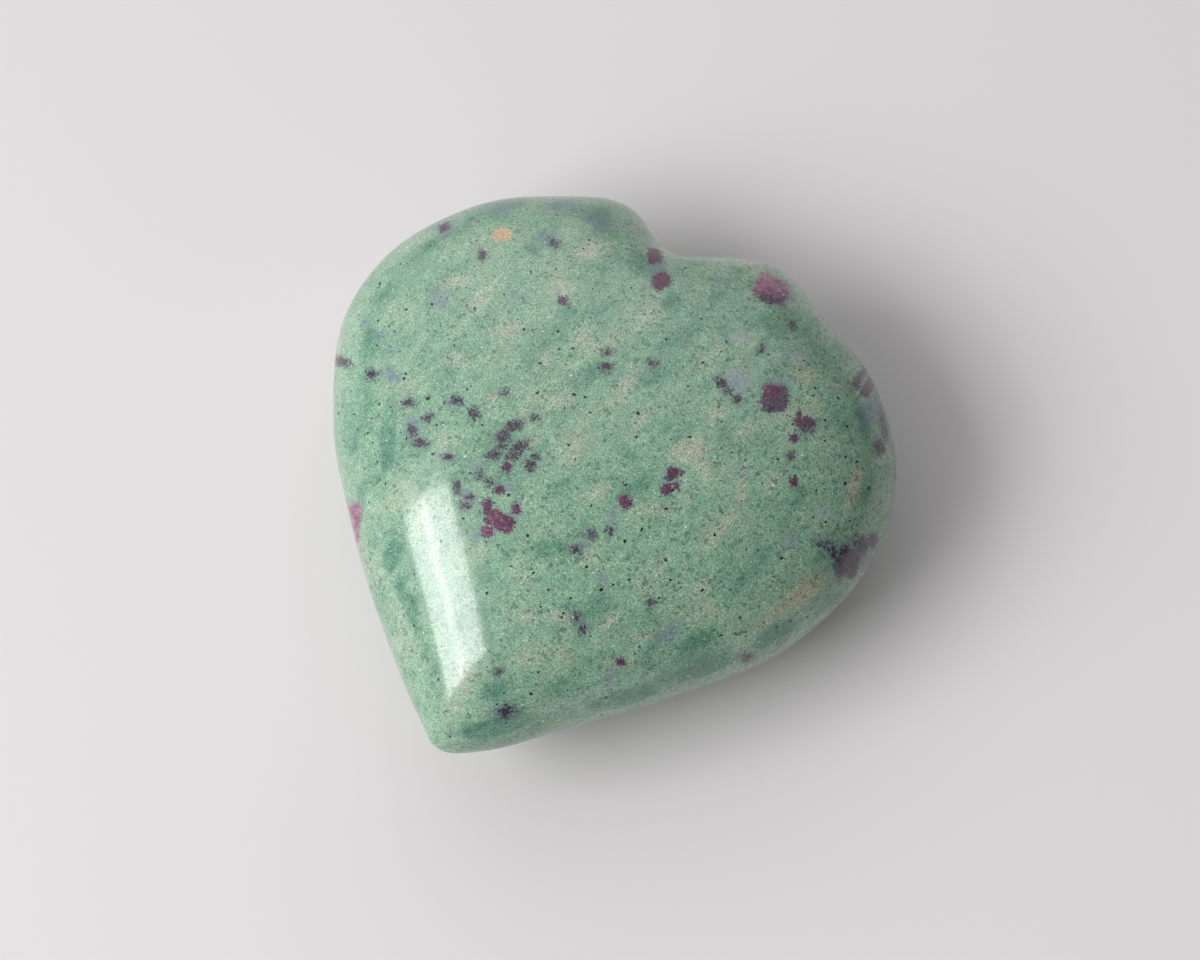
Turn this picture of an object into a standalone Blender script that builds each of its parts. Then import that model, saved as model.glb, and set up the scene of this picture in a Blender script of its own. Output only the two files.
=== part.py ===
"""Ruby in fuchsite heart: one puffy palm stone, sawn, ground and polished from a single piece of rock.

The heart lies on its back with its tip towards -Y and its cleft towards +Y. A smooth loop through a few
points gives its rim. Both faces swell from the rim as a blown-up sheet held there would, so the cleft and
the tip melt into smooth domes. The back has a small flat, where the stone rests. The origin is on that
flat, under the middle of the heart's box.
"""

import math

import bmesh
import bpy
import numpy as np
from mathutils.geometry import interpolate_bezier

MILLIMETRE = 0.001

# The rim seen from above, anticlockwise from the tip, in millimetres.
RIM_POINTS = (
    (-0.5, -35.5),  # tip
    (3.5, -34.0),
    (12.0, -26.5),  # right flank
    (22.5, -16.5),
    (32.5, -4.0),
    (35.5, 14.0),  # right shoulder, the widest place
    (28.0, 27.0),
    (17.5, 33.0),
    (10.0, 36.5),  # crest of the right lobe
    (3.0, 34.5),
    (0.5, 33.0),
    (-2.0, 32.0),  # bottom of the cleft
    (-10.0, 36.0),  # crest of the left lobe
    (-17.5, 33.5),
    (-28.0, 26.5),
    (-35.0, 11.5),  # left shoulder
    (-31.0, -3.0),
    (-22.0, -15.5),  # left flank
    (-11.5, -26.5),
    (-3.5, -33.5),
)

# The domes. With fullness 2 both ways they are those of an ellipsoid. A fuller dome is flatter on top and
# has a tighter shoulder.
THICKNESS = 29.5
FULLNESS_ACROSS = 2.4
FULLNESS_UPWARDS = 2.1

# The back is lapped by this much to give the stone a steady seat.
LAPPED_DEPTH = 0.4

# Facets along each edge of the cube that the solid is swelled from. The count is even, so that a row of
# points runs along the rim.
FACETS_PER_EDGE = 26

FUCHSITE_GREEN = (0.240, 0.370, 0.275, 1.0)
POLISHED_ROUGHNESS = 0.22


def clear_scene():
    for obj in list(bpy.data.objects):
        bpy.data.objects.remove(obj, do_unlink=True)


def rim_stretches():
    """The four control points of each stretch of a smooth closed Bezier curve through RIM_POINTS."""
    curve = bpy.data.curves.new("rim", "CURVE")
    spline = curve.splines.new("BEZIER")
    spline.bezier_points.add(len(RIM_POINTS) - 1)
    spline.use_cyclic_u = True
    for point, (x, y) in zip(spline.bezier_points, RIM_POINTS):
        point.co = (x, y, 0.0)
    for point in spline.bezier_points:
        point.handle_left_type = "AUTO"
        point.handle_right_type = "AUTO"
    points = list(spline.bezier_points)
    stretches = []
    for start, end in zip(points, points[1:] + points[:1]):
        controls = (start.co, start.handle_right, end.handle_left, end.co)
        stretches.append([control.copy() for control in controls])
    bpy.data.curves.remove(curve)
    return stretches


def rim_at(stretches, turn):
    """The place on the rim at this share of a turn from the tip."""
    whole, share = divmod(turn * len(stretches), 1.0)
    start, pull_out, pull_in, end = stretches[int(whole) % len(stretches)]
    left = 1 - share
    place = start * left**3 + pull_out * 3 * left**2 * share + pull_in * 3 * left * share**2 + end * share**3
    return np.array(place.xy)


def middle_of(stretches):
    """The centre of the area inside the rim."""
    loop = np.array([point.xy for stretch in stretches for point in interpolate_bezier(*stretch, 9)[:-1]])
    ends = np.roll(loop, -1, axis=0)
    cross = loop[:, 0] * ends[:, 1] - ends[:, 0] * loop[:, 1]
    return ((loop + ends) * cross[:, None]).sum(axis=0) / (3 * cross.sum())


def sphere_from_cube():
    """A unit sphere of even square facets, with no poles."""
    mesh = bmesh.new()
    bmesh.ops.create_cube(mesh, size=2.0)
    bmesh.ops.subdivide_edges(mesh, edges=mesh.edges[:], cuts=FACETS_PER_EDGE - 1, use_grid_fill=True)
    for vertex in mesh.verts:
        vertex.co = [math.tan(value * math.pi / 4) for value in vertex.co]
        vertex.co.normalize()
    return mesh


def swelling(places, triangles, held):
    """How far a thin sheet of these triangles, held at some points, rises over each point when it is blown up."""
    count = len(places)
    stiffness = np.zeros((count, count))
    load = np.zeros(count)
    for corner in range(3):
        here, ahead, behind = (triangles[:, (corner + step) % 3] for step in range(3))
        to_ahead = places[ahead] - places[here]
        to_behind = places[behind] - places[here]
        area = abs(to_ahead[:, 0] * to_behind[:, 1] - to_ahead[:, 1] * to_behind[:, 0]) / 2
        pull = (to_ahead * to_behind).sum(axis=1) / (4 * area)
        for first, second in ((ahead, behind), (behind, ahead)):
            np.add.at(stiffness, (first, first), pull)
            np.add.at(stiffness, (first, second), -pull)
        np.add.at(load, here, area / 3)
    free = np.flatnonzero(~held)
    rise = np.zeros(count)
    rise[free] = np.linalg.solve(stiffness[np.ix_(free, free)], load[free])
    return rise / rise.max()


def shape_heart(mesh):
    """Moves the points of the sphere out to the rim and up or down to the domes."""
    stretches = rim_stretches()
    middle = middle_of(stretches)
    sphere = np.array([vertex.co for vertex in mesh.verts])
    turns = np.arctan2(sphere[:, 1], sphere[:, 0]) / math.tau + 0.25
    rims = np.array([rim_at(stretches, turn % 1.0) for turn in turns])
    out = np.hypot(sphere[:, 0], sphere[:, 1])
    places = middle + (rims - middle) * out[:, None]
    corners = [[corner.index for corner in face.verts] for face in mesh.faces]
    triangles = np.array([(a, b, c) for a, b, c, _ in corners] + [(a, c, d) for a, _, c, d in corners])
    rise = swelling(places, triangles, held=abs(sphere[:, 2]) < 1e-5)
    from_top = np.sqrt(1 - rise)
    dome = (1 - from_top**FULLNESS_ACROSS) ** (1 / FULLNESS_UPWARDS)
    heights = np.copysign(dome * (THICKNESS + LAPPED_DEPTH) / 2, sphere[:, 2])
    for vertex, (x, y), height in zip(mesh.verts, places, heights):
        vertex.co = (x, y, height)


def lap_back(mesh):
    """Cuts the flat that the stone rests on."""
    cut = bmesh.ops.bisect_plane(
        mesh,
        geom=mesh.verts[:] + mesh.edges[:] + mesh.faces[:],
        plane_co=(0, 0, LAPPED_DEPTH - (THICKNESS + LAPPED_DEPTH) / 2),
        plane_no=(0, 0, -1),
        clear_outer=True,
    )
    edges = [item for item in cut["geom_cut"] if isinstance(item, bmesh.types.BMEdge)]
    bmesh.ops.edgeloop_fill(mesh, edges=edges)


def stand_on_origin(mesh):
    """Puts the middle of the heart's box over the origin, and the flat at height 0."""
    places = np.array([vertex.co for vertex in mesh.verts])
    low, high = places.min(axis=0), places.max(axis=0)
    shift = (-(low[0] + high[0]) / 2, -(low[1] + high[1]) / 2, -low[2])
    bmesh.ops.translate(mesh, verts=mesh.verts, vec=shift)


def stone_material():
    material = bpy.data.materials.new("ruby_in_fuchsite")
    material.use_nodes = True
    shader = material.node_tree.nodes["Principled BSDF"]
    shader.inputs["Base Color"].default_value = FUCHSITE_GREEN
    shader.inputs["Roughness"].default_value = POLISHED_ROUGHNESS
    shader.inputs["Metallic"].default_value = 0.0
    return material


def make_heart(collection):
    mesh = sphere_from_cube()
    shape_heart(mesh)
    lap_back(mesh)
    stand_on_origin(mesh)
    bmesh.ops.scale(mesh, verts=mesh.verts, vec=(MILLIMETRE, MILLIMETRE, MILLIMETRE))
    bmesh.ops.recalc_face_normals(mesh, faces=mesh.faces)
    data = bpy.data.meshes.new("heart")
    mesh.to_mesh(data)
    mesh.free()
    data.materials.append(stone_material())
    data.shade_smooth()
    heart = bpy.data.objects.new("heart", data)
    collection.objects.link(heart)
    return heart


def main():
    clear_scene()
    collection = bpy.data.collections.new("ruby_in_fuchsite_heart")
    bpy.context.scene.collection.children.link(collection)
    make_heart(collection)


main()
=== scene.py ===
"""The looks of a polished ruby in fuchsite heart, lying on a pale floor in soft studio light."""

import math
import random

import bmesh
import bpy
import numpy as np
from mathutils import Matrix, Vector
from mathutils.bvhtree import BVHTree


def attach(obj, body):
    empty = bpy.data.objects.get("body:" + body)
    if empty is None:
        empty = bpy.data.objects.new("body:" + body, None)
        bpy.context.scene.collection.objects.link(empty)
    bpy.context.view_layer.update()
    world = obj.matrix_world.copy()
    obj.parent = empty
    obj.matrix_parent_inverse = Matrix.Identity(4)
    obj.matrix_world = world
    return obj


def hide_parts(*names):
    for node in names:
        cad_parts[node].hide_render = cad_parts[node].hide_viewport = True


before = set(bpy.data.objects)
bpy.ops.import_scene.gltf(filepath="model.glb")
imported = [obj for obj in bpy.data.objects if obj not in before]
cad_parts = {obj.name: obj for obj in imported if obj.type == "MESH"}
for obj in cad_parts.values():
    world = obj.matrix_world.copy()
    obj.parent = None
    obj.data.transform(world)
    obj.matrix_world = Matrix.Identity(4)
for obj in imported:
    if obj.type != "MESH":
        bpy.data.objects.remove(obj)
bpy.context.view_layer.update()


# The camera
# It looks down on the stone from the front right, through a longish lens, as the photograph does. Its place
# and lens are those that lay the solid's outline over the stone's outline in the picture.

PHOTO_WIDTH = 1200
PHOTO_MIDDLE = (600.0, 480.0)
CAMERA_AZIMUTH = math.radians(26.0)
CAMERA_ELEVATION = math.radians(71.0)
CAMERA_DISTANCE = 0.435
CAMERA_LENS = 108.8
CAMERA_SENSOR = 36.0
CAMERA_AIM = Vector((0.0018, 0.0021, 0.0150))

away = Vector((
    math.sin(CAMERA_AZIMUTH) * math.cos(CAMERA_ELEVATION),
    -math.cos(CAMERA_AZIMUTH) * math.cos(CAMERA_ELEVATION),
    math.sin(CAMERA_ELEVATION),
))
rightwards = Vector((math.cos(CAMERA_AZIMUTH), math.sin(CAMERA_AZIMUTH), 0.0))
upwards = away.cross(rightwards)
camera_data = bpy.data.cameras.new("camera")
camera_data.lens = CAMERA_LENS
camera_data.sensor_width = CAMERA_SENSOR
camera = bpy.data.objects.new("camera", camera_data)
camera.location = CAMERA_AIM + away * CAMERA_DISTANCE
camera.rotation_euler = away.to_track_quat("Z", "Y").to_euler()
bpy.context.scene.collection.objects.link(camera)
bpy.context.scene.camera = camera


def sight_line(x, y):
    """The direction from the camera through this pixel of the photograph."""
    focal_pixels = CAMERA_LENS / CAMERA_SENSOR * PHOTO_WIDTH
    across = (x - PHOTO_MIDDLE[0]) / focal_pixels
    down = (y - PHOTO_MIDDLE[1]) / focal_pixels
    return (rightwards * across - upwards * down - away).normalized()


# The carved heart
# One piece of rock, sawn to a blank, ground to a puffy heart and buffed to a gloss. Its surface is the
# solid's own form made finer, so that its edge and highlights run smoothly.

SMOOTHING_LEVELS = 2
WELD_DISTANCE = 1e-6
ANY_ANGLE = math.pi
EVEN_ROWS = 1.5


def refined_copy(solid, name):
    """The solid's mesh with its loose triangles welded, paired into squares and smoothed."""
    mesh = bmesh.new()
    mesh.from_mesh(solid.data)
    bmesh.ops.remove_doubles(mesh, verts=mesh.verts, dist=WELD_DISTANCE)
    bmesh.ops.join_triangles(
        mesh,
        faces=mesh.faces,
        angle_face_threshold=ANY_ANGLE,
        angle_shape_threshold=ANY_ANGLE,
        topology_influence=EVEN_ROWS,
    )
    data = bpy.data.meshes.new(name)
    mesh.to_mesh(data)
    mesh.free()
    blank = bpy.data.objects.new(name, data)
    bpy.context.scene.collection.objects.link(blank)
    smoothing = blank.modifiers.new("smoothing", "SUBSURF")
    smoothing.levels = SMOOTHING_LEVELS
    smoothing.render_levels = SMOOTHING_LEVELS
    graph = bpy.context.evaluated_depsgraph_get()
    blank.data = bpy.data.meshes.new_from_object(blank.evaluated_get(graph))
    blank.modifiers.clear()
    return blank


heart = refined_copy(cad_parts["heart"], "heart_stone")


# The crystals and stains in the rock, and some painted shade
# Magenta rubies, near-black crumbs, blue and lilac stains, pale and deep green patches and one tan spot, all
# cut level with the surface. Some deep green rows are painted shade instead: bands along the lower right edge
# and the right rim, where the sides turn away from the light, and a band beside the highlight on the left
# flank that is partly painted shade. Each has its place in the photograph in pixels, its length and width in
# millimetres, how far its length is turned up from the picture's horizontal, in degrees, and its tone.

MILLIMETRE = 0.001

# Tone 0 is nearly black, 1 a clean magenta.
RUBIES = (
    (773, 288, 4.2, 3.2, -25, 1.0),
    (775, 398, 3.1, 3.2, -8, 0.4),
    (851, 563, 2.4, 3.6, -8, 0.05),
    (873, 541, 1.7, 1.5, 50, 0.15),
    (500, 521, 3.6, 2.2, -25, 0.5),
    (487, 508, 1.1, 1.9, 0, 0.3),
    (506, 523, 2.0, 1.7, 0, 0.25),
    (516, 508, 1.0, 1.2, 0, 0.35),
    (488, 531, 1.5, 1.6, 0, 0.6),
    (498, 490, 1.2, 0.9, 0, 0.2),
    (507, 467, 1.1, 1.3, -50, 0.3),
    (352, 524, 1.9, 4.8, 4, 1.0),
    (662, 280, 1.9, 2.2, -60, 0.4),
    (655, 255, 1.7, 1.8, 0, 0.3),
    (805, 423, 2.4, 1.6, -20, 0.3),
    (799, 417, 0.7, 1.4, 0, 0.3),
    (794, 438, 1.1, 0.9, 20, 0.25),
    (672, 474, 1.3, 1.6, -20, 0.15),
    (682, 473, 0.9, 0.4, 45, 0.2),
    (667, 489, 1.3, 1.3, 0, 0.3),
    (676, 486, 0.8, 0.8, 0, 0.2),
    (625, 501, 1.4, 1.7, 30, 0.4),
    (869, 386, 1.2, 2.3, -20, 0.1),
    (857, 385, 0.9, 1.1, 0, 0.3),
    (794, 482, 0.9, 1.1, 0, 0.3),
    (444, 227, 1.2, 0.9, 20, 0.2),
    (563, 300, 1.2, 1.0, 0, 0.3),
    (621, 662, 1.1, 0.9, 0, 0.4),
)

# Tone 0 is navy, 1 brown.
DARK_CRUMBS = (
    (514, 426, 2.0, 1.2, 25, 0.9),
    (503, 437, 1.6, 1.5, 0, 0.2),
    (501, 447, 1.4, 0.7, 10, 0.3),
    (494, 455, 1.7, 1.0, 25, 0.3),
    (520, 446, 1.9, 1.2, 25, 0.4),
    (513, 455, 1.6, 1.1, 20, 0.3),
    (535, 458, 0.8, 0.7, 0, 0.0),
    (530, 465, 1.2, 1.1, 30, 0.1),
    (534, 418, 0.6, 0.6, 0, 0.1),
    (455, 401, 1.3, 0.8, 0, 0.0),
    (474, 413, 1.2, 1.4, 0, 0.1),
    (421, 443, 1.7, 0.8, -10, 0.1),
    (428, 417, 1.0, 0.8, 30, 0.1),
    (412, 430, 0.8, 1.4, 20, 0.5),
    (409, 403, 1.4, 0.8, 0, 0.1),
    (371, 374, 0.9, 0.9, 0, 0.0),
    (489, 483, 0.8, 0.8, 0, 0.2),
    (480, 474, 0.8, 0.8, 0, 0.1),
    (457, 488, 0.8, 1.4, 0, 0.5),
    (464, 505, 1.0, 0.8, 0, 0.3),
    (470, 498, 0.9, 0.5, 0, 0.2),
    (449, 457, 1.2, 0.6, 0, 0.1),
    (841, 566, 1.3, 3.0, 0, 0.0),
    (845, 552, 1.2, 0.9, 0, 0.0),
    (862, 545, 1.6, 2.2, 0, 0.1),
    (831, 548, 0.9, 0.7, 0, 0.0),
    (834, 554, 0.7, 0.8, 0, 0.0),
    (820, 544, 0.7, 0.5, 0, 0.0),
    (826, 543, 0.6, 0.6, 0, 0.0),
    (763, 297, 0.9, 0.8, 0, 0.1),
    (771, 300, 1.0, 0.7, 0, 0.1),
    (780, 299, 1.1, 0.6, 20, 0.1),
    (722, 384, 1.6, 0.9, -50, 0.0),
    (729, 391, 1.0, 0.6, -50, 0.1),
    (738, 399, 0.7, 0.6, 30, 0.2),
    (771, 407, 1.2, 0.9, 0, 0.3),
    (785, 398, 0.7, 1.2, 0, 0.4),
    (806, 428, 1.0, 0.7, 0, 0.2),
    (790, 455, 0.6, 0.6, 0, 0.2),
    (863, 373, 0.8, 2.6, -30, 0.1),
    (880, 447, 1.2, 1.8, 10, 0.0),
    (884, 425, 0.8, 4.0, 10, 0.1),
    (577, 618, 0.9, 0.9, 0, 0.1),
    (582, 629, 1.0, 0.9, 0, 0.1),
    (506, 712, 1.6, 1.3, 20, 0.0),
    (338, 361, 1.0, 2.0, 70, 0.2),
    (610, 531, 0.7, 0.7, 0, 0.0),
    (592, 535, 0.8, 0.8, 0, 0.0),
    (576, 550, 0.9, 0.8, 0, 0.0),
    (482, 255, 0.8, 0.8, 0, 0.5),
    (747, 658, 1.2, 1.0, 0, 0.0),
    (792, 326, 0.7, 0.7, 0, 0.3),
    (762, 348, 0.9, 0.5, 60, 0.3),
    (608, 352, 0.9, 0.7, 0, 0.2),
    (607, 367, 1.2, 0.9, 0, 0.3),
    (652, 363, 0.8, 0.6, 0, 0.6),
    (555, 243, 1.0, 0.8, -30, 0.0),
    (505, 392, 0.7, 0.6, 0, 1.0),
    (498, 672, 0.9, 0.6, 0, 0.4),
    (651, 602, 0.7, 0.6, 0, 0.8),
)

# Tone 0 is slate blue, 1 lilac white.
BLUE_STAINS = (
    (479, 534, 2.2, 1.8, 0, 0.3),
    (517, 514, 1.6, 2.6, 0, 0.3),
    (505, 488, 2.4, 1.2, 0, 0.3),
    (478, 466, 1.6, 1.6, 0, 0.3),
    (446, 457, 2.4, 1.2, 10, 0.5),
    (466, 500, 2.2, 3.0, 20, 0.3),
    (531, 463, 1.9, 2.0, 0, 0.2),
    (455, 401, 2.2, 1.5, 0, 0.2),
    (412, 430, 2.4, 3.4, 0, 0.3),
    (549, 240, 3.2, 1.8, -20, 0.1),
    (600, 222, 4.4, 2.2, -10, 0.1),
    (502, 207, 4.6, 1.6, 10, 0.1),
    (561, 205, 4.4, 1.6, 0, 0.1),
    (365, 321, 1.4, 1.4, 0, 0.0),
    (391, 350, 1.2, 2.2, -20, 0.2),
    (392, 376, 2.0, 2.4, 30, 0.2),
    (382, 337, 1.4, 1.2, 0, 0.1),
    (371, 374, 1.8, 1.6, 0, 0.0),
    (444, 227, 3.0, 2.0, 20, 0.1),
    (515, 297, 2.0, 1.2, 0, 0.4),
    (720, 280, 1.8, 1.4, 0, 0.2),
    (738, 380, 4.2, 3.2, -35, 0.6),
    (780, 380, 2.6, 1.4, 0, 0.5),
    (810, 427, 2.2, 1.6, -20, 0.3),
    (612, 516, 1.2, 3.0, -25, 0.3),
    (609, 529, 1.2, 1.4, -25, 0.2),
    (582, 545, 1.2, 3.0, -40, 0.2),
    (612, 676, 1.6, 3.0, -40, 0.4),
    (668, 632, 4.0, 2.2, 40, 0.3),
    (506, 712, 3.0, 2.2, 10, 0.1),
    (853, 545, 3.0, 2.0, 0, 0.2),
    (866, 560, 2.5, 3.0, 0, 0.1),
    (828, 547, 3.4, 1.4, -30, 0.2),
    (656, 268, 2.6, 4.2, -10, 0.1),
    (671, 480, 2.4, 3.2, -20, 0.3),
    (738, 338, 3.0, 1.3, 0, 1.0),
    (797, 357, 2.4, 1.8, 0, 1.0),
    (824, 515, 1.8, 1.4, 0, 1.0),
    (775, 290, 5.0, 3.6, -25, 0.2),
    (875, 405, 2.4, 6.4, -20, 0.1),
    (602, 580, 2.0, 1.4, 20, 0.4),
    (790, 540, 2.4, 1.4, 60, 0.5),
    (744, 475, 1.2, 1.6, 0, 0.4),
    (440, 300, 3.0, 2.4, 0, 0.4),
)

# Tone 0 is pinkish, 1 tan.
PALE_PATCHES = (
    (625, 385, 5.2, 1.9, 55, 0.1),
    (688, 450, 5.2, 2.6, 15, 0.4),
    (703, 467, 3.4, 1.6, -60, 0.3),
    (721, 530, 7.5, 1.4, 48, 0.2),
    (741, 490, 6.0, 1.3, 85, 0.2),
    (527, 617, 2.8, 2.2, 0, 0.1),
    (558, 617, 3.0, 1.8, 0, 0.1),
    (805, 591, 6.4, 2.6, 38, 1.0),
    (776, 612, 3.4, 1.4, 45, 0.6),
    (657, 510, 3.6, 1.6, 5, 0.3),
    (455, 281, 4.0, 1.8, 10, 0.1),
    (582, 337, 3.0, 1.8, 40, 0.1),
    (458, 360, 3.0, 2.0, 10, 0.1),
    (648, 311, 3.6, 1.4, 60, 0.1),
    (716, 412, 3.4, 2.0, 30, 0.2),
    (640, 420, 3.0, 1.4, 40, 0.2),
    (590, 250, 5.0, 2.4, 20, 0.2),
    (565, 655, 2.0, 1.0, -40, 0.7),
    (645, 636, 2.6, 1.2, 20, 0.1),
    (534, 440, 1.6, 0.9, 30, 0.9),
    (493, 397, 2.0, 1.4, 0, 0.7),
    (806, 375, 2.6, 2.0, 0, 0.8),
    (855, 485, 1.6, 5.0, -10, 0.8),
    (797, 407, 1.6, 1.0, -45, 0.3),
    (507, 330, 4.0, 2.0, 10, 0.1),
    (480, 300, 3.0, 2.0, 20, 0.1),
    (560, 400, 3.4, 2.0, 30, 0.1),
    (747, 262, 4.4, 1.3, -15, 0.4),
    (545, 360, 3.0, 1.6, 40, 0.1),
    (600, 490, 3.0, 1.6, 50, 0.2),
    (745, 430, 3.0, 1.6, 50, 0.2),
    (610, 620, 3.0, 1.6, 40, 0.2),
    (700, 590, 3.4, 1.6, 50, 0.2),
    (660, 570, 2.6, 1.4, 60, 0.2),
    (775, 480, 3.0, 1.6, 60, 0.2),
)

# Tone 0 is a mild green, 1 a deep teal. Most rows are patches in the rock; the marked bands are painted
# shade.
DEEP_PATCHES_AND_PAINTED_SHADE = (
    (597, 368, 4.5, 2.6, 0, 0.6),
    (652, 378, 4.6, 1.5, 60, 0.6),
    (665, 425, 2.6, 2.2, 0, 0.6),
    (627, 452, 3.0, 1.8, -30, 0.5),
    (672, 303, 2.8, 3.4, 0, 1.0),
    (715, 296, 3.4, 2.0, 0, 0.7),
    (728, 342, 3.4, 1.8, -60, 0.8),
    (757, 356, 2.4, 1.8, 40, 0.6),
    (690, 259, 4.4, 1.6, -10, 0.8),
    (735, 270, 2.6, 2.0, 0, 0.9),
    (640, 262, 3.4, 3.6, 0, 0.6),
    # A long band down the left flank, between the highlight and the rim: partly the rock's deep green, partly
    # painted shade.
    (388, 430, 2.2, 11.0, -4, 0.9),
    (398, 472, 1.8, 1.3, 0, 1.0),
    (548, 550, 5.4, 3.0, 0, 0.5),
    (690, 540, 3.0, 2.2, 50, 0.4),
    (735, 543, 3.2, 1.2, 45, 0.7),
    (580, 642, 2.4, 1.5, 0, 0.7),
    (600, 656, 3.4, 1.6, 20, 0.7),
    # Three more pieces of that band beside the highlight: partly the rock's deep green, partly painted shade.
    (392, 556, 2.4, 5.0, -20, 1.0),
    (408, 605, 2.0, 7.0, 22, 1.0),
    (430, 660, 1.8, 5.0, 22, 0.7),
    (486, 630, 2.0, 7.0, 15, 0.6),
    (492, 690, 4.0, 2.4, 20, 0.8),
    (440, 335, 4.0, 1.8, 20, 0.4),
    (512, 402, 3.4, 1.6, 10, 0.5),
    # Painted shade: two bands along the right rim, where the dome curves away from the light.
    (845, 350, 5.0, 1.8, -55, 0.9),
    (866, 430, 1.6, 6.0, 15, 0.7),
    (564, 310, 2.4, 1.8, 0, 0.6),
    (772, 330, 3.0, 2.0, 0, 0.4),
    (365, 380, 3.0, 4.0, 0, 0.6),
    (430, 245, 3.0, 2.0, 20, 0.6),
    (530, 250, 3.0, 1.8, 0, 0.5),
    (590, 212, 6.0, 2.6, 0, 0.8),
    (700, 640, 6.0, 2.0, 25, 0.5),
    (800, 540, 4.0, 2.2, 50, 0.4),
    (480, 375, 3.0, 1.8, 20, 0.4),
    # Painted shade: a row of long deep teal bands along the lower right edge, on the side wall that faces
    # away from the light.
    (500, 727, 10.0, 2.4, 12, 1.0),
    (620, 700, 9.0, 2.2, 15, 1.0),
    (705, 668, 8.0, 2.4, 22, 1.0),
    (775, 634, 7.0, 2.0, 32, 0.8),
    (835, 602, 5.0, 1.8, 45, 0.8),
)

TAN_SPOTS = (
    (502, 234, 2.7, 1.7, 10, 0.5),
)

# Each kind's name and rows, how many more lie out of sight, their usual size in millimetres, and their seed.
KINDS = (
    ("ruby", RUBIES, 18, 2.2, 3),
    ("dark", DARK_CRUMBS, 40, 1.1, 4),
    ("blue", BLUE_STAINS, 24, 2.6, 5),
    ("pale", PALE_PATCHES, 24, 3.4, 7),
    # The deep rows include bands of painted shade.
    ("deep", DEEP_PATCHES_AND_PAINTED_SHADE, 24, 3.4, 8),
    ("tan", TAN_SPOTS, 1, 2.0, 6),
)

# Near the outline a body is laid out as if the surface there faced the camera by at least this cosine.
STEEPEST_FACING = 0.30

# The bodies out of sight: where they are sent out from, the cosine to the camera that counts as turned away,
# how much their sizes vary and the slimmest width against length.
STONE_MIDDLE = Vector((0.0, 0.002, 0.0147))
TURNED_AWAY = -0.05
SIZE_SPREAD = 0.45
SLIMMEST = 0.45

surface = BVHTree.FromObject(heart, bpy.context.evaluated_depsgraph_get())


def seen_frame(x, y, length, width, turn):
    """Where this pixel's line of sight meets the stone, and the three half sizes there that look this big."""
    sight = sight_line(x, y)
    spot, normal, _, _ = surface.ray_cast(camera.location, sight)
    if spot is None:
        raise ValueError(f"pixel {x}, {y} misses the stone")
    angle = math.radians(turn)
    length_way = rightwards * math.cos(angle) + upwards * math.sin(angle)
    width_way = upwards * math.cos(angle) - rightwards * math.sin(angle)
    facing = min(sight.dot(normal), -STEEPEST_FACING)
    halves = []
    for way, size in ((length_way, length), (width_way, width)):
        on_surface = way - sight * (way.dot(normal) / facing)
        halves.append(on_surface * (size * MILLIMETRE / 2))
    halves.append(normal * (max(length, width) * MILLIMETRE / 2))
    return spot, halves


def hidden_places(count, seed):
    """Places all over the sides and back that the photograph doesn't show."""
    chance = random.Random(seed)
    found = []
    while len(found) < count:
        way = Vector([chance.gauss(0.0, 1.0) for _ in range(3)]).normalized()
        spot, normal, _, _ = surface.ray_cast(STONE_MIDDLE, way)
        if normal.dot(away) > TURNED_AWAY:
            continue
        length_way = normal.orthogonal().normalized()
        angle = chance.uniform(0.0, math.pi)
        length_way = length_way * math.cos(angle) + normal.cross(length_way) * math.sin(angle)
        size = chance.lognormvariate(0.0, SIZE_SPREAD)
        slimness = chance.uniform(SLIMMEST, 1.0)
        found.append((spot, normal, length_way, size, slimness, chance.random()))
    return found


def bodies_of(listed, hidden_count, hidden_size, seed):
    """Each crystal or stain: its middle, three half sizes, mean half size in millimetres and tone."""
    bodies = []
    for x, y, length, width, turn, tone in listed:
        spot, halves = seen_frame(x, y, length, width, turn)
        bodies.append((spot, halves, math.sqrt(length * width) / 2, tone))
    for spot, normal, length_way, size, slimness, tone in hidden_places(hidden_count, seed):
        half = hidden_size * size * MILLIMETRE / 2
        halves = (length_way * half, normal.cross(length_way) * half * slimness, normal * half)
        bodies.append((spot, halves, hidden_size * size * math.sqrt(slimness) / 2, tone))
    return bodies


def places_within(places, body):
    """Each place in the body's own frame, measured in its half sizes."""
    spot, halves, _, _ = body
    return (places - np.array(spot)) @ np.linalg.inv(np.array(halves))


def mark_bodies(mesh, kind, bodies):
    """Gives each corner its place within the body nearest to its face, with that body's size and tone."""
    corners = np.empty(len(mesh.loops), dtype=np.int32)
    mesh.loops.foreach_get("vertex_index", corners)
    places = np.empty(len(mesh.vertices) * 3)
    mesh.vertices.foreach_get("co", places)
    places = places.reshape(-1, 3)[corners]
    face_of_corner = np.empty(len(mesh.loops), dtype=np.int32)
    for face in mesh.polygons:
        face_of_corner[face.loop_start:face.loop_start + face.loop_total] = face.index
    sums = [np.bincount(face_of_corner, places[:, way]) for way in range(3)]
    middles = np.stack(sums, axis=1) / np.bincount(face_of_corner)[:, None]
    deepest = np.full(len(middles), -np.inf)
    nearest = np.zeros(len(middles), dtype=np.int32)
    for index, body in enumerate(bodies):
        depth = (1.0 - np.linalg.norm(places_within(middles, body), axis=1)) * body[2]
        nearest[depth > deepest] = index
        deepest = np.maximum(deepest, depth)
    own = nearest[face_of_corner]
    within = np.empty((len(places), 3))
    facts = np.zeros((len(places), 3))
    for index, body in enumerate(bodies):
        chosen = own == index
        within[chosen] = places_within(places[chosen], body)
        facts[chosen, 0] = body[2]
        facts[chosen, 1] = body[3]
    for name, values in ((f"{kind}_place", within), (f"{kind}_facts", facts)):
        layer = mesh.attributes.new(name, "FLOAT_VECTOR", "CORNER")
        layer.data.foreach_set("vector", values.ravel())


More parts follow.
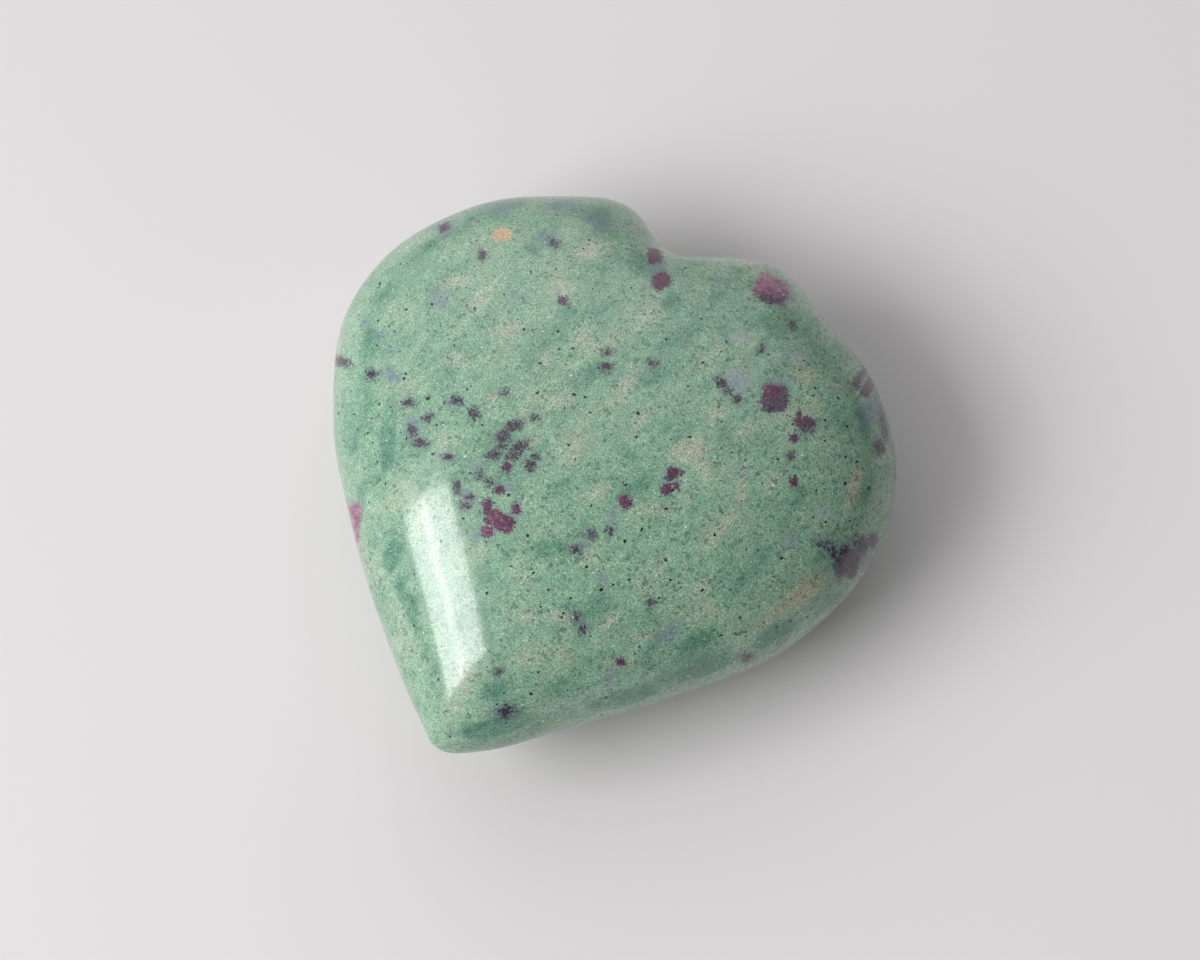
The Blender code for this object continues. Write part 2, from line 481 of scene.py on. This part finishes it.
for kind, listed, hidden_count, hidden_size, seed in KINDS:
    mark_bodies(heart.data, kind, bodies_of(listed, hidden_count, hidden_size, seed))


# The rock
# Fine green mica, fuchsite, grown through with paler quartz and feldspar grains, lined up in faint streaks.
# It is ground smooth, but the softest grains are left as pits a hair deep.

DEEP_TEAL = (0.090, 0.238, 0.162, 1.0)
MID_GREEN = (0.224, 0.388, 0.268, 1.0)
BEIGE_GREEN = (0.338, 0.430, 0.315, 1.0)
CREAM_GRAIN = (0.500, 0.500, 0.400, 1.0)
PALE_PINKISH = (0.385, 0.445, 0.350, 1.0)
PALE_TAN = (0.420, 0.400, 0.275, 1.0)
PEPPER_GREEN = (0.080, 0.150, 0.105, 1.0)
SLATE_BLUE = (0.110, 0.185, 0.215, 1.0)
LILAC_WHITE = (0.370, 0.420, 0.440, 1.0)
TAN = (0.520, 0.395, 0.235)
RUBY_DARK = (0.060, 0.020, 0.050, 1.0)
RUBY_RED = (0.185, 0.048, 0.120, 1.0)
RUBY_PINK = (0.420, 0.195, 0.300, 1.0)
CRUMB_NAVY = (0.026, 0.015, 0.036, 1.0)
CRUMB_BROWN = (0.100, 0.070, 0.070, 1.0)
CRUMB_PALE = (0.170, 0.190, 0.210, 1.0)
DARK_HALO = (0.130, 0.150, 0.175, 1.0)
SPECK_BLACK = (0.020, 0.022, 0.018, 1.0)
# Painted glint colour, for white dots that stand in for mica catching the light.
PAINTED_GLINT_WHITE = (0.780, 0.800, 0.740, 1.0)

# The sizes of lumps and grains, in millimetres.
WIDE_PATCH = 5.0
SMALL_PATCH = 1.8
MEALY_LUMP = 0.9
RAGGED_LUMP = 0.8
FINE_LUMP = 0.20
CRUMB_GRAIN = 0.19
PEPPER_GRAIN = 0.38
PEPPER_CLOUD = 14.0
RUBY_STREAK = 1.0

# The streaks rise at 45 degrees in the picture. Along them the lumps are drawn out.
STREAK_TURN = CAMERA_AZIMUTH + math.radians(45.0)
STREAK_STRETCH = (0.65, 1.0, 0.8)
RUBY_STRETCH = (0.9, 2.6, 1.0)

# Each grain's edge is bent by waves this many to a millimetre, whose middle and reach are both a half.
WAVES_PER_MILLIMETRE = 2.2
HALF = (0.5, 0.5, 0.5)

# Rubies bend light more than mica does. This is between the two.
ROCK_IOR = 1.68
LEVEL_ROUGHNESS = 0.09
PIT_ROUGHNESS = 0.15
PIT_DEPTH = 0.00002
PIT_STRENGTH = 0.15


def put(tree, kind, inputs=(), **settings):
    """Adds a node with these settings. Each input is a value or another node's output."""
    node = tree.nodes.new(kind)
    for name, value in settings.items():
        setattr(node, name, value)
    for key, value in dict(inputs).items():
        if isinstance(value, bpy.types.NodeSocket):
            tree.links.new(value, node.inputs[key])
        else:
            node.inputs[key].default_value = value
    return node


def worked(tree, operation, *values):
    """One step of arithmetic on numbers or nodes' outputs."""
    return put(tree, "ShaderNodeMath", dict(enumerate(values)), operation=operation).outputs[0]


def worked_vector(tree, operation, inputs):
    """One step of arithmetic on places or colours."""
    return put(tree, "ShaderNodeVectorMath", inputs, operation=operation).outputs[0]


def scaled(tree, value, factor):
    """The value times a factor."""
    return worked(tree, "MULTIPLY", value, factor)


def sum_of(tree, start, value, factor):
    """The start with the value times a factor added."""
    return worked(tree, "MULTIPLY_ADD", value, factor, start)


def varied(tree, start, *swings):
    """The start swung up and down by noises around their middle of a half, each with its strength."""
    for noise, strength in swings:
        lowered = worked(tree, "SUBTRACT", start, strength / 2)
        start = sum_of(tree, lowered, noise, strength)
    return start


def share_between(tree, value, low, high):
    """0 where the value is at or under low, 1 where it is at or over high, and smooth between."""
    inputs = {"Value": value, "From Min": low, "From Max": high}
    return put(tree, "ShaderNodeMapRange", inputs, interpolation_type="SMOOTHSTEP").outputs[0]


def cover(tree, value, low, high, strength):
    """How strongly a colour covers: not at all where the value is at low, with its strength at high."""
    return scaled(tree, share_between(tree, value, low, high), strength)


def blend(tree, share, first, second):
    """The first colour where the share is 0, the second where it is 1."""
    node = put(tree, "ShaderNodeMix", data_type="RGBA")
    for socket, value in ((node.inputs[0], share), (node.inputs[6], first), (node.inputs[7], second)):
        if isinstance(value, bpy.types.NodeSocket):
            tree.links.new(value, socket)
        else:
            socket.default_value = value
    return node.outputs[2]


def placed(tree, where, **change):
    """The same places, turned or stretched."""
    return put(tree, "ShaderNodeMapping", {"Vector": where, **change}).outputs[0]


def moved(tree, where, seed):
    """The same places shifted by a step of their own, so that two patterns don't fall together."""
    step = (seed * 17.0, seed * 31.0, seed * 7.0)
    return worked_vector(tree, "ADD", {0: where, 1: step})


def cloud(tree, where, size, detail, roughness, seed):
    """A noise from 0 to 1 with lumps of this size in millimetres."""
    place = moved(tree, where, seed)
    inputs = {"Vector": place, "Scale": 1.0 / size, "Detail": detail, "Roughness": roughness}
    return put(tree, "ShaderNodeTexNoise", inputs).outputs[0]


def grains(tree, where, size, seed):
    """Cells of this size in millimetres: the distance from the cell's core, and two numbers a cell."""
    node = put(tree, "ShaderNodeTexVoronoi", {"Vector": moved(tree, where, seed), "Scale": 1.0 / size})
    parted = put(tree, "ShaderNodeSeparateColor", {"Color": node.outputs["Color"]})
    return node.outputs["Distance"], parted.outputs[0], parted.outputs[1]


def depth_in(tree, kind, boxy=False):
    """The depth in the nearest body of this kind, in millimetres, its tone and the place within it."""
    place = put(tree, "ShaderNodeAttribute", attribute_name=f"{kind}_place").outputs["Vector"]
    facts = put(tree, "ShaderNodeAttribute", attribute_name=f"{kind}_facts").outputs["Vector"]
    parted = put(tree, "ShaderNodeSeparateXYZ", {0: facts})
    measured = worked_vector(tree, "MULTIPLY", {0: place, 1: place}) if boxy else place
    length = put(tree, "ShaderNodeVectorMath", {0: measured}, operation="LENGTH").outputs["Value"]
    if boxy:
        length = worked(tree, "SQRT", length)
    inward = worked(tree, "SUBTRACT", 1.0, length)
    return scaled(tree, inward, parted.outputs[0]), parted.outputs[1], place


stone = bpy.data.materials.new("ruby_in_fuchsite")
stone.use_nodes = True
tree = stone.node_tree
shader = tree.nodes["Principled BSDF"]
object_place = put(tree, "ShaderNodeTexCoord").outputs["Object"]
in_mm = placed(tree, object_place, Scale=(1 / MILLIMETRE, 1 / MILLIMETRE, 1 / MILLIMETRE))
along_streaks = placed(tree, in_mm, Rotation=(0.0, 0.0, -STREAK_TURN))
stretched = placed(tree, along_streaks, Scale=STREAK_STRETCH)
wave_inputs = {"Vector": in_mm, "Scale": WAVES_PER_MILLIMETRE, "Detail": 2.0}
waves = put(tree, "ShaderNodeTexNoise", wave_inputs).outputs["Color"]
wobble = worked_vector(tree, "SUBTRACT", {0: waves, 1: HALF})
bent = worked_vector(tree, "MULTIPLY_ADD", {0: wobble, 1: HALF, 2: in_mm})

ragged = cloud(tree, in_mm, RAGGED_LUMP, detail=3.0, roughness=0.7, seed=6.0)
fine = cloud(tree, in_mm, FINE_LUMP, detail=2.0, roughness=0.85, seed=4.0)
mealy = cloud(tree, stretched, MEALY_LUMP, detail=2.0, roughness=0.6, seed=3.0)
_, crumb, crumb_two = grains(tree, bent, CRUMB_GRAIN, seed=5.0)

# The green, from deep teal through mid green to beige. The deep rows, partly painted shade, pull the tone
# down towards deep teal.
wide_patches = cloud(tree, stretched, WIDE_PATCH, detail=3.0, roughness=0.55, seed=1.0)
small_patches = cloud(tree, stretched, SMALL_PATCH, detail=2.0, roughness=0.6, seed=2.0)
tone = varied(tree, 0.48, (wide_patches, 1.7), (small_patches, 0.5), (fine, 0.12))
deep_and_shade_depth, deep_and_shade_tone, _ = depth_in(tree, "deep")
deep_and_shade_edge = varied(tree, deep_and_shade_depth, (ragged, 1.6), (fine, 0.8))
tone = sum_of(tree, tone, cover(tree, deep_and_shade_edge, -0.3, 0.9, strength=deep_and_shade_tone), -0.42)
green = blend(tree, share_between(tree, tone, -0.1, 0.55), DEEP_TEAL, MID_GREEN)
green = blend(tree, share_between(tree, tone, 0.45, 0.95), green, BEIGE_GREEN)
pale_depth, pale_tone, _ = depth_in(tree, "pale")
pale_edge = varied(tree, pale_depth, (ragged, 2.0), (fine, 1.6))
pale = blend(tree, pale_tone, PALE_PINKISH, PALE_TAN)
green = blend(tree, cover(tree, pale_edge, -0.7, 1.3, strength=0.80), green, pale)

# The grain: each speck of mica and quartz is a little darker or paler than its neighbours, and pepper lies
# thicker in some parts and towards the right.
green = blend(tree, cover(tree, crumb, 0.90, 1.0, strength=0.45), green, CREAM_GRAIN)
_, pepper, _ = grains(tree, bent, PEPPER_GRAIN, seed=9.0)
pepper_cloud = cloud(tree, in_mm, PEPPER_CLOUD, detail=1.0, roughness=0.5, seed=10.0)
rightness = put(tree, "ShaderNodeSeparateXYZ", {0: in_mm}).outputs[0]
pepper_limit = sum_of(tree, varied(tree, 0.91, (pepper_cloud, -0.25)), rightness, -0.0015)
pepper_room = worked(tree, "SUBTRACT", pepper, pepper_limit)
green = blend(tree, cover(tree, pepper_room, 0.0, 0.03, strength=0.6), green, PEPPER_GREEN)
brightness = sum_of(tree, scaled(tree, fine, 3.0), mealy, 0.6)
brightness = worked(tree, "EXPONENT", worked(tree, "SUBTRACT", brightness, 1.83))
colour = worked_vector(tree, "SCALE", {0: green, "Scale": brightness})

# The blue stains.
blue_depth, blue_tone, _ = depth_in(tree, "blue")
blue_edge = varied(tree, blue_depth, (ragged, 2.4), (crumb, 1.1))
blue = blend(tree, varied(tree, blue_tone, (crumb_two, 0.7)), SLATE_BLUE, LILAC_WHITE)
colour = blend(tree, cover(tree, blue_edge, -0.4, 0.9, strength=0.8), colour, blue)

# The tan spot.
tan_depth, _, _ = depth_in(tree, "tan")
tan_edge = varied(tree, tan_depth, (ragged, 0.6), (crumb, 0.2))
tan_colour = worked_vector(tree, "SCALE", {0: TAN, "Scale": brightness})
colour = blend(tree, share_between(tree, tan_edge, -0.05, 0.2), colour, tan_colour)

# The rubies, streaked along their length, in thin lilac-blue rims.
ruby_depth, ruby_tone, ruby_place = depth_in(tree, "ruby", boxy=True)
ruby_edge = varied(tree, ruby_depth, (ragged, 0.8), (crumb, 0.45))
rim_share = cover(tree, ruby_edge, -0.35, 0.0, strength=share_between(tree, crumb_two, 0.1, 0.7))
colour = blend(tree, scaled(tree, rim_share, 0.6), colour, SLATE_BLUE)
ruby_streaks = placed(tree, ruby_place, Scale=RUBY_STRETCH)
ruby_grain = cloud(tree, ruby_streaks, RUBY_STREAK, detail=3.0, roughness=0.65, seed=11.0)
ruby_level = varied(tree, 0.44, (ruby_grain, 1.0), (ruby_tone, 0.40), (fine, 1.3), (crumb, 0.22))
ruby = blend(tree, share_between(tree, ruby_level, 0.34, 0.56), RUBY_DARK, RUBY_RED)
ruby = blend(tree, share_between(tree, ruby_level, 0.56, 0.82), ruby, RUBY_PINK)
colour = blend(tree, cover(tree, ruby_edge, -0.10, 0.10, strength=0.95), colour, ruby)

# The dark crumbs, in faint slate halos.
dark_depth, dark_tone, _ = depth_in(tree, "dark")
dark_edge = varied(tree, dark_depth, (ragged, 1.1), (crumb, 0.75), (fine, 0.8))
dark = blend(tree, cover(tree, crumb_two, 0.2, 0.7, strength=dark_tone), CRUMB_NAVY, CRUMB_BROWN)
dark = blend(tree, cover(tree, crumb_two, 0.65, 0.90, strength=0.6), dark, CRUMB_PALE)
colour = blend(tree, cover(tree, dark_edge, -0.65, 0.0, strength=0.6), colour, DARK_HALO)
colour = blend(tree, cover(tree, dark_edge, -0.18, 0.12, strength=0.92), colour, dark)


def scattered(cell, radius, rarest, seed):
    """Full inside scattered spots of up to this radius, in cells of this size, both in millimetres."""
    core, chance, _ = grains(tree, bent, cell, seed)
    size = share_between(tree, chance, rarest, 1.0)
    room = sum_of(tree, scaled(tree, size, radius / cell), core, -1.0)
    return share_between(tree, room, -0.01, 0.02)


# Black specks of two sizes, and a few painted glints: white dots in the colour that stand in for mica flakes
# catching the light.
small_specks = scattered(cell=0.65, radius=0.11, rarest=0.1, seed=12.0)
large_specks = scattered(cell=1.3, radius=0.22, rarest=0.2, seed=7.0)
painted_glints = scattered(cell=1.4, radius=0.13, rarest=0.1, seed=8.0)
colour = blend(tree, scaled(tree, small_specks, 0.85), colour, SPECK_BLACK)
colour = blend(tree, large_specks, colour, SPECK_BLACK)
colour = blend(tree, scaled(tree, painted_glints, 0.8), colour, PAINTED_GLINT_WHITE)
tree.links.new(colour, shader.inputs["Base Color"])

level_share = share_between(tree, fine, 0.25, 0.5)
roughness = sum_of(tree, PIT_ROUGHNESS, level_share, LEVEL_ROUGHNESS - PIT_ROUGHNESS)
bump = put(tree, "ShaderNodeBump", {"Height": level_share, "Strength": PIT_STRENGTH, "Distance": PIT_DEPTH})
tree.links.new(roughness, shader.inputs["Roughness"])
tree.links.new(bump.outputs[0], shader.inputs["Normal"])
shader.inputs["IOR"].default_value = ROCK_IOR


# The polish
# The ground rock is buffed by hand on a felt wheel, which leaves very faint, broad dips in its face, under a
# tenth of a millimetre deep. They only press inwards.

POLISH = (
    ("Dip length", 0.012),
    ("Dip depth", 0.00008),
)
DIP_SEED = 2.0


def polish_tree(finish):
    """Geometry Nodes that press faint dips into the surface."""
    group = bpy.data.node_groups.new("polish", "GeometryNodeTree")
    group.interface.new_socket("Geometry", in_out="INPUT", socket_type="NodeSocketGeometry")
    for name, size in POLISH:
        socket = group.interface.new_socket(name, in_out="INPUT", socket_type="NodeSocketFloat")
        socket.default_value = size
    group.interface.new_socket("Geometry", in_out="OUTPUT", socket_type="NodeSocketGeometry")
    start = group.nodes.new("NodeGroupInput")
    waves = worked(group, "DIVIDE", 1.0, start.outputs["Dip length"])
    place = group.nodes.new("GeometryNodeInputPosition")
    noise_inputs = {"Vector": place.outputs[0], "W": DIP_SEED, "Scale": waves, "Detail": 1.0}
    noise = put(group, "ShaderNodeTexNoise", noise_inputs, noise_dimensions="4D")
    dips = scaled(group, noise.outputs[0], start.outputs["Dip depth"])
    inward = scaled(group, dips, -1.0)
    normal = group.nodes.new("GeometryNodeInputNormal")
    offset = worked_vector(group, "SCALE", {0: normal.outputs[0], "Scale": inward})
    pressed = put(group, "GeometryNodeSetPosition", {"Geometry": start.outputs[0], "Offset": offset})
    smooth = put(group, "GeometryNodeSetShadeSmooth", {"Geometry": pressed.outputs[0]})
    real = put(group, "GeometryNodeRealizeInstances", {"Geometry": smooth.outputs[0]})
    dressed = put(group, "GeometryNodeSetMaterial", {"Geometry": real.outputs[0], "Material": finish})
    finish_node = group.nodes.new("NodeGroupOutput")
    group.links.new(dressed.outputs[0], finish_node.inputs[0])
    return group


polish = heart.modifiers.new("polish", "NODES")
polish.node_group = polish_tree(stone)
graph = bpy.context.evaluated_depsgraph_get()
heart.data = bpy.data.meshes.new_from_object(heart.evaluated_get(graph))
heart.modifiers.clear()
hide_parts("heart")
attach(heart, "root")


# The floor
# A plain sheet of pale, matt paper, laid flat under the stone. It runs far past the picture, so that no edge
# of it shows.

FLOOR_SIZE = 6.0
FLOOR_GREY = (0.740, 0.712, 0.722, 1.0)
PAPER_ROUGHNESS = 0.9
floor_mesh = bmesh.new()
bmesh.ops.create_grid(floor_mesh, x_segments=1, y_segments=1, size=FLOOR_SIZE / 2)
floor_data = bpy.data.meshes.new("floor")
floor_mesh.to_mesh(floor_data)
floor_mesh.free()
floor = bpy.data.objects.new("floor", floor_data)
bpy.context.scene.collection.objects.link(floor)
floor_paper = bpy.data.materials.new("floor_paper")
floor_paper.use_nodes = True
floor_shader = floor_paper.node_tree.nodes["Principled BSDF"]
floor_shader.inputs["Base Color"].default_value = FLOOR_GREY
floor_shader.inputs["Roughness"].default_value = PAPER_ROUGHNESS
floor_data.materials.append(floor_paper)


# The light
# One soft box to the left, a cloth over a lamp whose strip shows through it, and a pale room all round. The
# room's walls glow most behind the box and past the picture's top.

ROOM_LEVEL = 0.12
ROOM_TINT = (1.0, 0.99, 1.0, 1.0)

# Each glow's azimuth from the picture's right, its elevation and its strength.
GLOWS = ((95.0, 35.0, 0.95), (150.0, 30.0, 0.25), (210.0, 30.0, 0.80))
GLOW_TIGHTNESS = 4.0
KEY_AZIMUTH = -160.0
KEY_ELEVATION = 43.0

forwards = Vector((-math.sin(CAMERA_AZIMUTH), math.cos(CAMERA_AZIMUTH), 0.0))


def direction(azimuth, elevation):
    """A direction from its azimuth, turned from the picture's right to its top, and elevation, in degrees."""
    turn = math.radians(azimuth)
    rise = math.radians(elevation)
    level_way = rightwards * math.cos(turn) + forwards * math.sin(turn)
    return level_way * math.cos(rise) + Vector((0.0, 0.0, math.sin(rise)))


world = bpy.data.worlds.new("room")
world.use_nodes = True
room = world.node_tree
outlook = put(room, "ShaderNodeTexCoord").outputs["Generated"]
room_light = ROOM_LEVEL
for azimuth, elevation, strength in GLOWS:
    towards = tuple(direction(azimuth, elevation))
    facing = put(room, "ShaderNodeVectorMath", {0: outlook, 1: towards}, operation="DOT_PRODUCT")
    facing = worked(room, "MAXIMUM", facing.outputs["Value"], 0.0)
    glow = worked(room, "POWER", facing, GLOW_TIGHTNESS)
    room_light = sum_of(room, room_light, glow, strength)
room.links.new(room_light, room.nodes["Background"].inputs["Strength"])
room.nodes["Background"].inputs["Color"].default_value = ROOM_TINT
bpy.context.scene.world = world
bpy.context.scene.view_settings.view_transform = "Standard"


def soft_box(name, towards, distance, width, height, power):
    """A rectangular light in this direction from the stone, turned to face it."""
    data = bpy.data.lights.new(name, "AREA")
    data.shape = "RECTANGLE"
    data.size = width
    data.size_y = height
    data.energy = power
    light = bpy.data.objects.new(name, data)
    light.location = towards * distance
    light.rotation_euler = towards.to_track_quat("Z", "Y").to_euler()
    bpy.context.scene.collection.objects.link(light)


key_way = direction(KEY_AZIMUTH, KEY_ELEVATION).normalized()
soft_box("key", key_way, distance=1.0, width=0.72, height=0.54, power=7.4)
soft_box("lamp strip", key_way, distance=0.99, width=0.66, height=0.08, power=0.65)
